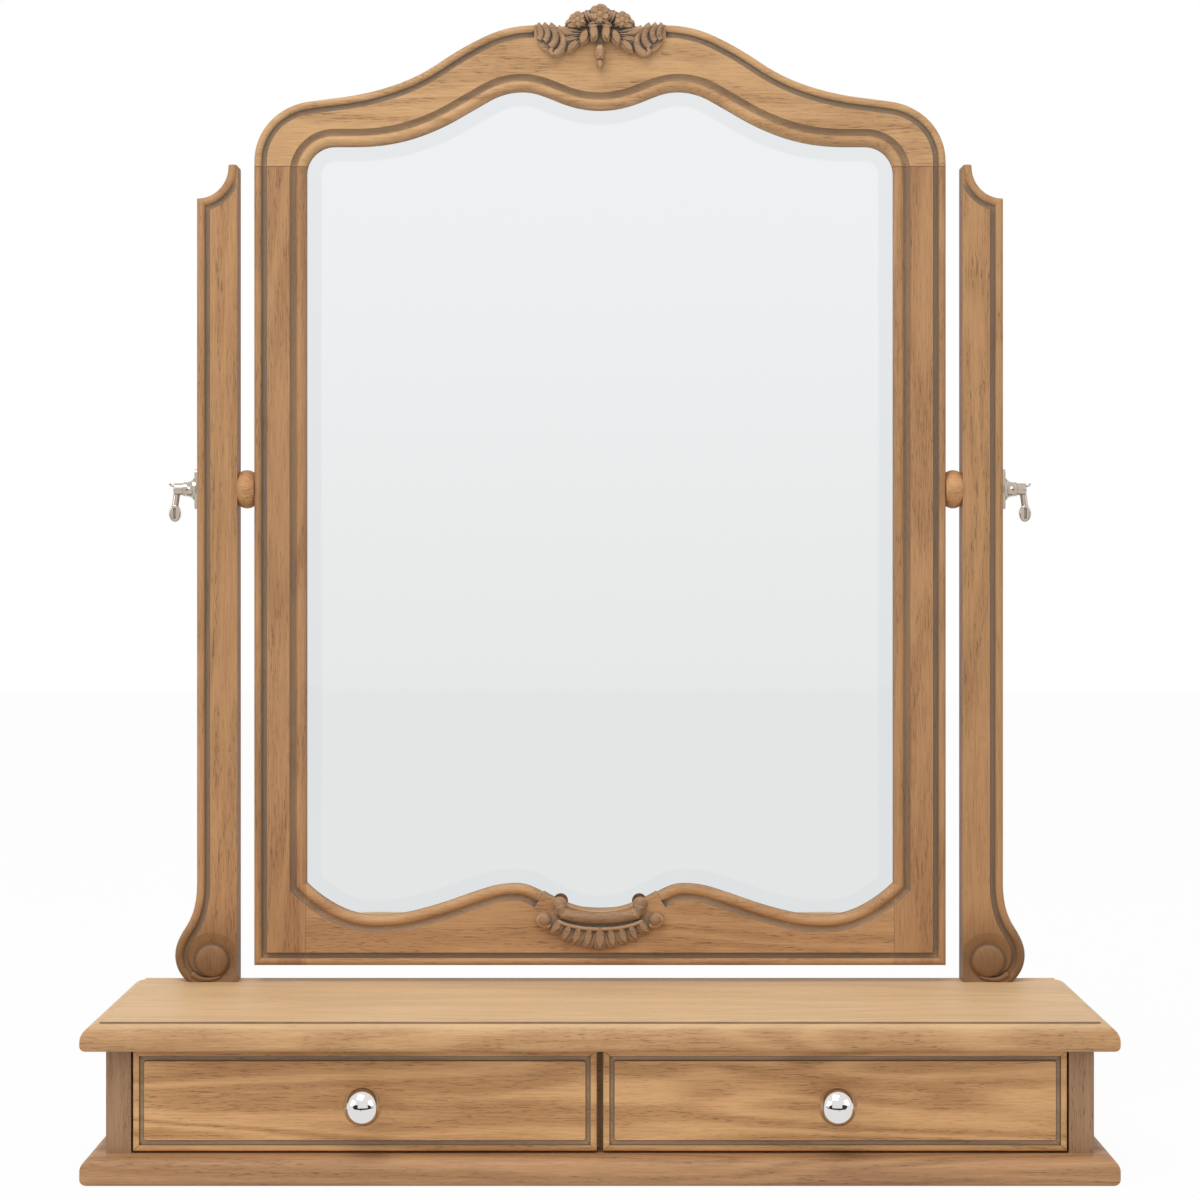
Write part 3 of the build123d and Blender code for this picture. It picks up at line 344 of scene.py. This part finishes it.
# The drawer fronts are plain boards with lively grain, a bead round the edge and glaze with
# painted shade in the groove beside it, which is mitred at the corners.
front_low, front_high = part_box("drawer_front_right")
front_middle = [(low + high) / 2 for low, high in zip(front_low, front_high)]
front_half = [(high - low) / 2 for low, high in zip(front_low, front_high)]
front_border = 0.0084


def mitre_lines(x, y, z):
    """Fine diagonal lines across the border at the corners of both drawer fronts."""
    from_end = abs(abs(x) - front_middle[0]) - front_half[0]
    from_edge = abs(z - front_middle[2]) - front_half[2]
    diagonal = 1 - abs(from_end - from_edge).rise(0.00010, 0.00045)
    return diagonal * from_end.rise(-front_border, 0.0004 - front_border)


drawer_wood = wood(
    "drawer_wood", "X", tint(218, 171, 118), tint(168, 122, 77), 21.3, figure=2.2, glaze_and_shade=0.9,
    lines=mitre_lines,
)
dress(drawer_wood, "drawer_front_left", "drawer_front_right")

# What is out of sight is bare, paler wood: the drawer boxes, the divider and back of the case,
# the backing of the glass and the dowels, all cut to size and left without a finish.
bare_wood = wood(
    "bare_wood", "X", tint(214, 186, 147), tint(186, 152, 112), 30.9, figure=0.6, glaze_and_shade=0.15
)
dress(bare_wood, "case_divider", "case_back", "backing_board", "frame_dowels")
for side in ("left", "right"):
    dress(
        bare_wood,
        f"drawer_side_inner_{side}", f"drawer_side_outer_{side}", f"drawer_back_{side}",
        f"drawer_bottom_{side}",
    )

# The posts stand on the board: upright grain, with glaze and painted shade in the groove along
# the outer edge and round the eye of the volute foot. Shade is painted darker towards the foot.
foot_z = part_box("post_left")[0][2]
foot_dark_top = 0.012
foot_swell_top = 0.062


def foot_painted_shade(x, y, z):
    """How much painted shade darkens the wood, down the swell of the foot."""
    return (1 - z.rise(foot_z + foot_dark_top, foot_z + foot_swell_top)) * 0.62


post_wood = wood(
    "post_wood", "Z", tint(181, 138, 94), tint(138, 97, 61), 41.2, glaze_and_shade=0.85, painted_shade=foot_painted_shade
)
dress(post_wood, "post_left", "post_right")

# The buns keep the frame clear of the posts. They are turned from the same wood, a shade lighter
# and redder, with less of the glaze and painted shade in their hollows.
bun_wood = wood(
    "bun_wood", "X", tint(205, 156, 106), tint(150, 104, 62), 47.8, figure=0.7, glaze_and_shade=0.5
)
dress(bun_wood, "bun_spacer_left", "bun_spacer_right")

# The swinging frame: two stiles with upright grain between a top and a bottom rail, moulded
# along both edges. Its joints show as fine dark lines.
joint_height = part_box("frame_top_rail")[0][2]
joint_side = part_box("frame_bottom_rail")[1][0]
# The mouldings get strong glaze and painted shade in their hollows.
frame_glaze_and_shade = {"glaze_and_shade": 0.95, "glaze_and_shade_reach": 0.0046}


def near(value, level):
    """1 in a fine line where a value is at a level."""
    return 1 - abs(value - level).rise(0.00012, 0.00055)


stile_wood = wood(
    "stile_wood", "Z", tint(180, 137, 94), tint(136, 96, 61), 55.5, figure=1.2,
    lines=lambda x, y, z: near(z, joint_height), **frame_glaze_and_shade,
)
top_rail_wood = wood(
    "top_rail_wood", "X", tint(202, 161, 114), tint(152, 112, 73), 61.4, figure=1.3,
    lines=lambda x, y, z: near(z, joint_height), **frame_glaze_and_shade,
)
bottom_rail_wood = wood(
    "bottom_rail_wood", "X", tint(194, 151, 106), tint(149, 108, 71), 66.6, figure=1.3,
    lines=lambda x, y, z: near(abs(x), joint_side), **frame_glaze_and_shade,
)
dress(stile_wood, "frame_stile_left", "frame_stile_right")
dress(top_rail_wood, "frame_top_rail")
dress(bottom_rail_wood, "frame_bottom_rail")

# The silvered glass, painted paler towards the top as a painted reflection, with a bevel ground
# along its edge that looks a shade darker. It is bedded close behind the inner bead of the frame,
# so its face stands forward of the plain solid's.
glass_forward = 0.005
bevel_start = 0.00003
bevel_full = 0.00025
glass_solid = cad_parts["mirror_glass"]
glass_face_y, glass_back_y = (corner[1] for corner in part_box("mirror_glass"))
glass_finish, glass_wire, glass_shader = material("silvered_glass")
glass_place = glass_wire.node("ShaderNodeTexCoord", {}, {}, "Object")
glass_height = glass_wire.node("ShaderNodeSeparateXYZ", {}, {"Vector": glass_place}, "Z")
glass_depth = glass_wire.node("ShaderNodeSeparateXYZ", {}, {"Vector": glass_place}, "Y")
# Painted reflection: the glass is painted darker towards the bottom and paler towards the top.
glass_colour = glass_height.rise(0.10, 0.78).mix(tint(228, 230, 229), tint(240, 241, 243))
bevelled = (glass_depth - (glass_face_y - glass_forward)).rise(bevel_start, bevel_full)
glass_colour = (bevelled * 0.40).mix(glass_colour, tint(216, 220, 222))
feed(glass_wire, glass_shader, Base_Color=glass_colour, Metallic=1.0, Roughness=0.02)
glass_mesh = glass_solid.data.copy()
glass_points = np.empty(len(glass_mesh.vertices) * 3)
glass_mesh.vertices.foreach_get("co", glass_points)
glass_points = glass_points.reshape(-1, 3)
off_the_back = glass_points[:, 1] < glass_back_y - 0.001
glass_points[off_the_back, 1] -= glass_forward
glass_mesh.vertices.foreach_set("co", glass_points.ravel())
glass_mesh.materials.clear()
glass_mesh.materials.append(glass_finish)
glass_pane = bpy.data.objects.new("glass_pane", glass_mesh)
bpy.context.scene.collection.objects.link(glass_pane)
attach(glass_pane, "mirror_frame")
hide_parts("mirror_glass")
dress(glass_finish, "mirror_glass")


# The knobs, the pivot plates and the levers are cast, and plated with polished nickel. The screws
# and the inserts that they turn in are plain steel and brass, out of sight in the wood.
def metal(name, colour, roughness, smudge, tarnish=0.0):
    """A metal whose polish varies a little, with tarnish left in its corners."""
    finish, wire, shader = material(name)
    place = wire.node("ShaderNodeTexCoord", {}, {}, "Object")
    cloud = wire.node(
        "ShaderNodeTexNoise", {}, {"Vector": place, "Scale": 160.0, "Detail": 3.0}
    )
    corners = shelter(wire, 0.008).rise(0.12, 0.60)
    polished = (cloud * smudge).mix(colour, shaded(colour, 0.7))
    feed(
        wire, shader,
        Base_Color=(corners * tarnish).mix(polished, tint(74, 60, 50)),
        Metallic=1.0,
        Roughness=roughness + cloud * 0.06,
    )
    return finish


knob_nickel = metal("knob_nickel", tint(226, 224, 222), 0.02, smudge=0.15)
lever_nickel = metal("lever_nickel", tint(196, 184, 170), 0.14, smudge=0.7, tarnish=0.9)
plain_steel = metal("plain_steel", tint(150, 150, 150), 0.35, smudge=0.5)
plain_brass = metal("plain_brass", tint(190, 155, 90), 0.30, smudge=0.5)
for side in ("left", "right"):
    dress(knob_nickel, f"knob_{side}")
    dress(
        lever_nickel, f"pivot_plate_{side}", f"lever_handle_{side}", f"lever_spindle_{side}"
    )
    dress(plain_steel, f"knob_screw_{side}")
    dress(plain_brass, f"stile_insert_{side}")
dress(plain_steel, "case_screws", "post_screws", "plate_screws", "backing_screws")


# The crest is carved from a block and glued on the head of the frame: a rose between two
# flowers, leaves that hang and spread, and nested scrolls over each shoulder.
class Carving:
    """Gathers carved forms into one mesh. Their places are in mm from the carving's middle."""

    def __init__(self, face_y, middle_x, middle_z):
        self.face_y = face_y
        self.middle_x = middle_x
        self.middle_z = middle_z
        self.vertices = []
        self.faces = []

    def point(self, sign, x, out, z):
        """A place in metres, on the right or, with a sign of -1, mirrored to the left."""
        return (
            sign * (self.middle_x + x) / 1000,
            self.face_y - out / 1000,
            (self.middle_z + z) / 1000,
        )

    def skin(self, rows):
        """Closes a grid of points, rows along a form and a ring of points in each row."""
        start = len(self.vertices)
        count = len(rows[0])
        for row in rows:
            self.vertices.extend(row)
        for i in range(len(rows) - 1):
            for j in range(count):
                a = start + i * count + j
                b = start + i * count + (j + 1) % count
                self.faces.append((a, b, b + count, a + count))
        self.faces.append(tuple(start + j for j in range(count))[::-1])
        self.faces.append(tuple(start + (len(rows) - 1) * count + j for j in range(count)))

    def leaf(self, base, bend, tip, width, rise, lift=0.0, veins=1, mirrored=True):
        """A blunt leaf from base over bend to tip, domed across and cut by veins."""
        for sign in ((1, -1) if mirrored else (1,)):
            rows = []
            for u in np.linspace(0.02, 1, 22):
                a, b, c = (1 - u) ** 2, 2 * u * (1 - u), u * u
                x = a * base[0] + b * bend[0] + c * tip[0]
                z = a * base[1] + b * bend[1] + c * tip[1]
                run_x = (1 - u) * (bend[0] - base[0]) + u * (tip[0] - bend[0])
                run_z = (1 - u) * (bend[1] - base[1]) + u * (tip[1] - bend[1])
                size = max((run_x**2 + run_z**2) ** 0.5, 1e-6)
                across = (-run_z / size, run_x / size)
                tail = max(0.0, (u - 0.72) / 0.28)
                half = width / 2 * (0.45 + 0.55 * min(u / 0.6, 1)) * (1 - tail**2) ** 0.5
                half = max(half, 0.05)
                top = rise * (0.55 + 0.45 * sin(pi * u)) + lift * u * u
                ring = []
                for v in np.linspace(-1, 1, 19):
                    dome = (1 - abs(v) ** 2.4) ** 0.5
                    furrow = 0.5 + 0.5 * cos(pi * v * (veins + 1))
                    cut = 0.30 * rise * furrow * (1 - 0.6 * u)
                    height = top - rise * 0.55 * (1 - dome) - cut
                    ring.append((x + across[0] * half * v, height, z + across[1] * half * v))
                under = [(p[0], -0.6, p[2]) for p in reversed(ring)]
                rows.append([self.point(sign, *p) for p in (ring + under)[::sign]])
            self.skin(rows)

    def scroll(self, points, thick, thin, lift):
        """A rounded ribbon through points that thins towards its far end, on both sides."""
        path = np.array(points, float)
        count = len(path) - 1
        for sign in (1, -1):
            rows = []
            for t in np.linspace(0, count, 12 * count + 1):
                i = min(int(t), count - 1)
                f = t - i
                p0, p1 = path[max(i - 1, 0)], path[i]
                p2, p3 = path[i + 1], path[min(i + 2, count)]
                p = 0.5 * (2 * p1 + (p2 - p0) * f + (2 * p0 - 5 * p1 + 4 * p2 - p3) * f * f
                           + (3 * p1 - p0 - 3 * p2 + p3) * f**3)
                d = 0.5 * ((p2 - p0) + 2 * (2 * p0 - 5 * p1 + 4 * p2 - p3) * f
                           + 3 * (3 * p1 - p0 - 3 * p2 + p3) * f * f)
                d = d / max(np.linalg.norm(d), 1e-6)
                r = thick + (thin - thick) * t / count
                ends = min(1.0, 0.35 + 2.2 * min(t, count - t))
                ring = []
                for angle in np.linspace(0, 2 * pi, 12, endpoint=False):
                    side = r * ends * cos(angle)
                    out = lift + r * ends * sin(angle)
                    ring.append((p[0] - d[1] * side, out, p[1] + d[0] * side))
                rows.append([self.point(sign, *q) for q in ring[::-sign]])
            self.skin(rows)

    def ball(self, x, z, radius, lift, squash=1.0, mirrored=True):
        """A round bud, flatter where its squash is below 1."""
        for sign in ((1, -1) if mirrored else (1,)):
            rows = []
            for a in np.linspace(0.06, pi - 0.06, 12):
                rows.append([
                    self.point(
                        sign,
                        x + radius * sin(a) * cos(b),
                        lift + radius * squash * cos(a),
                        z + radius * sin(a) * sin(b),
                    )
                    for b in np.linspace(0, 2 * pi, 16, endpoint=False)[::sign]
                ])
            self.skin(rows)

    def flower(self, x, z, radius, petals, rise, turn=0.0, mirrored=True):
        """Petals round a heart."""
        for step in range(petals):
            angle = radians(turn + 90 + step * 360 / petals)
            reach = (x + radius * cos(angle), z + radius * sin(angle))
            bend = (x + radius * 0.55 * cos(angle - 0.25), z + radius * 0.55 * sin(angle - 0.25))
            self.leaf((x, z), bend, reach, radius * 1.15, rise, 1.2, 1, mirrored)
        self.ball(x, z, radius * 0.30, rise + 0.6, 0.8, mirrored)


# Carved wood: strong glaze and painted shade in its hollows, and edges painted pale from wear and
# a painted highlight.
carved_wood = wood(
    "carved_wood", "X", tint(176, 139, 103), tint(118, 88, 62), 73.2, figure=0.5,
    glaze_and_shade=0.95, glaze_and_shade_reach=0.0046, wear_and_highlight=0.8,
)
crest_drop = 23.5
crest_top_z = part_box("crest_carving")[1][2]
frame_face_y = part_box("frame_stile_left")[0][1]
crest = Carving(frame_face_y, 0, crest_top_z * 1000 - crest_drop)
crest.leaf((10, 3), (18, 1), (29.0, 5.3), width=7.2, rise=8.0, lift=1.5, veins=2)
crest.leaf((10, 1), (18, -1), (26.5, -2.0), width=6.5, rise=6.8, lift=1.2, veins=2)
crest.leaf((9, 2), (17, -2), (22.5, -10.5), width=7.5, rise=6.0, lift=0.6, veins=2)
crest.leaf((7, 6), (11, 2), (13.5, -6.0), width=8.5, rise=7.5, lift=0.8, veins=2)
crest.leaf((2, 9), (4, 2), (5.0, -4.0), width=7.5, rise=8.6, lift=0.8)
crest.leaf((10, 11), (18, 12), (24.0, 7.5), width=7.0, rise=7.4, lift=1.0, veins=2)
crest.leaf((0, -3), (0, -9), (0, -16.0), width=7.5, rise=6.6, lift=0.6, mirrored=False)
crest.leaf((5, 8), (8.5, 13), (9.8, 18.6), width=6.6, rise=7.4, lift=1.4)
crest.leaf((8, 8), (11, 8), (20.5, 13.0), width=6.4, rise=6.4, lift=1.0)
crest.leaf((0, 12), (3, 6), (8.4, 8.6), width=6.0, rise=9.4, lift=1.6)
crest.ball(0, -8.5, radius=2.7, lift=5.0, mirrored=False)
crest.ball(0, -13.5, radius=2.3, lift=4.4, mirrored=False)
crest.ball(0, -17.8, radius=1.9, lift=3.8, mirrored=False)
crest.ball(0, -21.2, radius=1.4, lift=3.0, mirrored=False)
crest.scroll(
    [(29, 7.0), (25.8, 2), (25.4, -4), (28.0, -10), (32.0, -12.4), (34.4, -10.2), (33.0, -7.8)],
    thick=2.6, thin=1.4, lift=3.4,
)
crest.scroll([(35.0, 8.0), (31.6, 4), (31.0, -1), (33.6, -6.5)], thick=2.4, thin=1.5, lift=3.2)
crest.scroll([(39.8, 8.0), (37.0, 4.4), (36.8, 0), (38.6, -3)], thick=2.1, thin=1.3, lift=2.8)
crest.scroll([(43.2, 7.4), (41.4, 4.4), (41.4, 1), (42.4, -1.6)], thick=1.7, thin=1.1, lift=2.4)
crest.flower(15.5, 11.6, radius=6.0, petals=6, rise=8.0, turn=12)
crest.flower(0, 15.0, radius=7.6, petals=6, rise=9.6, mirrored=False)
crest.flower(0, 15.0, radius=4.6, petals=5, rise=11.0, turn=30, mirrored=False)
crest_relief = new_piece("crest_relief", crest.vertices, crest.faces, carved_wood)
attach(crest_relief, "mirror_frame")
dress(carved_wood, "crest_carving")

# The carving under the glass: a plain bead between two scroll knobs, over a fan of leaves that
# is darker and greyer than the rail it is glued to.
# The fan wood takes the same strong glaze and painted shade, and the same pale edges from wear and
# a painted highlight.
fan_wood = wood(
    "fan_wood", "X", tint(168, 132, 98), tint(112, 84, 60), 79.1, figure=0.5,
    glaze_and_shade=0.95, glaze_and_shade_reach=0.0046, wear_and_highlight=0.8,
)
fan_height = 37.6
rail_foot_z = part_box("frame_bottom_rail")[0][2]
fan = Carving(frame_face_y, 0, rail_foot_z * 1000 + fan_height)
fan.leaf((0, -8), (0, -17), (0, -26.8), width=11.0, rise=5.4, lift=0.8, veins=4, mirrored=False)
fan.leaf((4.5, -8), (7.0, -16), (9.6, -25.2), width=9.6, rise=4.9, lift=0.8, veins=3)
fan.leaf((11, -8), (13.5, -14), (17.8, -22.6), width=9.4, rise=5.2, lift=0.8, veins=3)
fan.leaf((17, -7), (20, -12), (25.6, -20.4), width=8.8, rise=4.8, lift=0.8, veins=3)
fan.leaf((23, -5), (27, -9), (34.4, -15.0), width=8.4, rise=4.9, lift=0.8, veins=2)
fan.scroll([(0, -11.4), (12, -10.7), (22, -8.6), (30, -5.4)], thick=1.5, thin=1.3, lift=4.4)
fan.scroll([(0, -4.6), (10, -4.0), (20, -2.0), (27, 0.8)], thick=3.5, thin=3.2, lift=2.6)
fan.scroll([(24, -3), (26.8, 1.5), (28.2, 5.6)], thick=3.4, thin=4.2, lift=3.2)
fan.scroll(
    [(34, -9), (40, -8.6), (43.0, -5), (40, -2), (37.5, -4.8)], thick=2.2, thin=1.2, lift=3.2
)
fan.ball(38.8, -5.0, radius=4.6, lift=3.2)
fan_relief = new_piece("fan_relief", fan.vertices, fan.faces, fan_wood)
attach(fan_relief, "mirror_frame")
dress(fan_wood, "lower_carving")

# The volute of each foot: a low domed eye, with the end of the outer bead curling in under it
# as a thin lip. They are carved in the foot and take the same finish.
eye_from_side = 17.9
eye_from_foot = 14.7
post_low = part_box("post_right")[0]
volute = Carving(
    post_low[1], post_low[0] * 1000 + eye_from_side, post_low[2] * 1000 + eye_from_foot
)
volute.ball(0, 0, radius=11.4, lift=-1.0, squash=0.24)
volute.scroll(
    [(14.5, -8.5), (8.5, -12.2), (1.0, -12.6), (-6.0, -10.8)], thick=2.5, thin=0.7, lift=-1.3
)
volute_relief = new_piece("volute_relief", volute.vertices, volute.faces, post_wood)
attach(volute_relief, "case")
